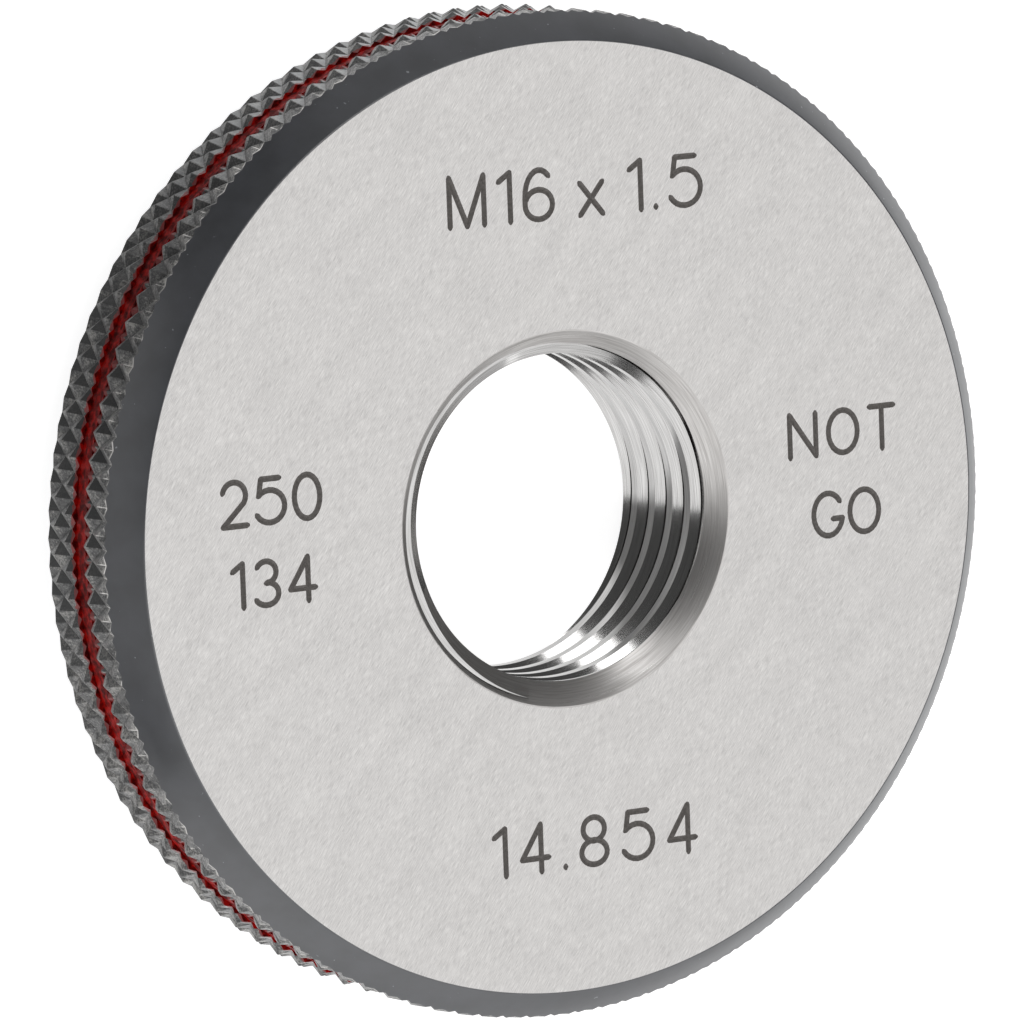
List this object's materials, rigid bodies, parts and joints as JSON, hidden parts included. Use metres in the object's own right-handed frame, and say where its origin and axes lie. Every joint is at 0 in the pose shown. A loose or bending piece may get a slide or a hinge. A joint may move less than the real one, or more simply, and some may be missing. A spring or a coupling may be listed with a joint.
{
  "type": "thread ring gauge",
  "caption": "Flat turned steel ring with a threaded bore, ground faces, a diamond-knurled rim and a red groove round the knurl, for testing the size of a screw thread.",
  "frame": {"origin": "centre of the back face, on the bore's axis", "axes": "+Z along the bore's axis out of the marked face, +X along the lines of marking, +Y towards their top"},
  "size_m": [0.0444, 0.0444, 0.008],
  "materials": {
    "gauge_steel": "faces ground and lapped, rim and bevels blackened",
    "groove_paint": "gloss red enamel"
  },
  "bodies": {
    "root": {"ring_body": "gauge_steel", "groove_paint": "groove_paint"}
  },
  "joints": []
}
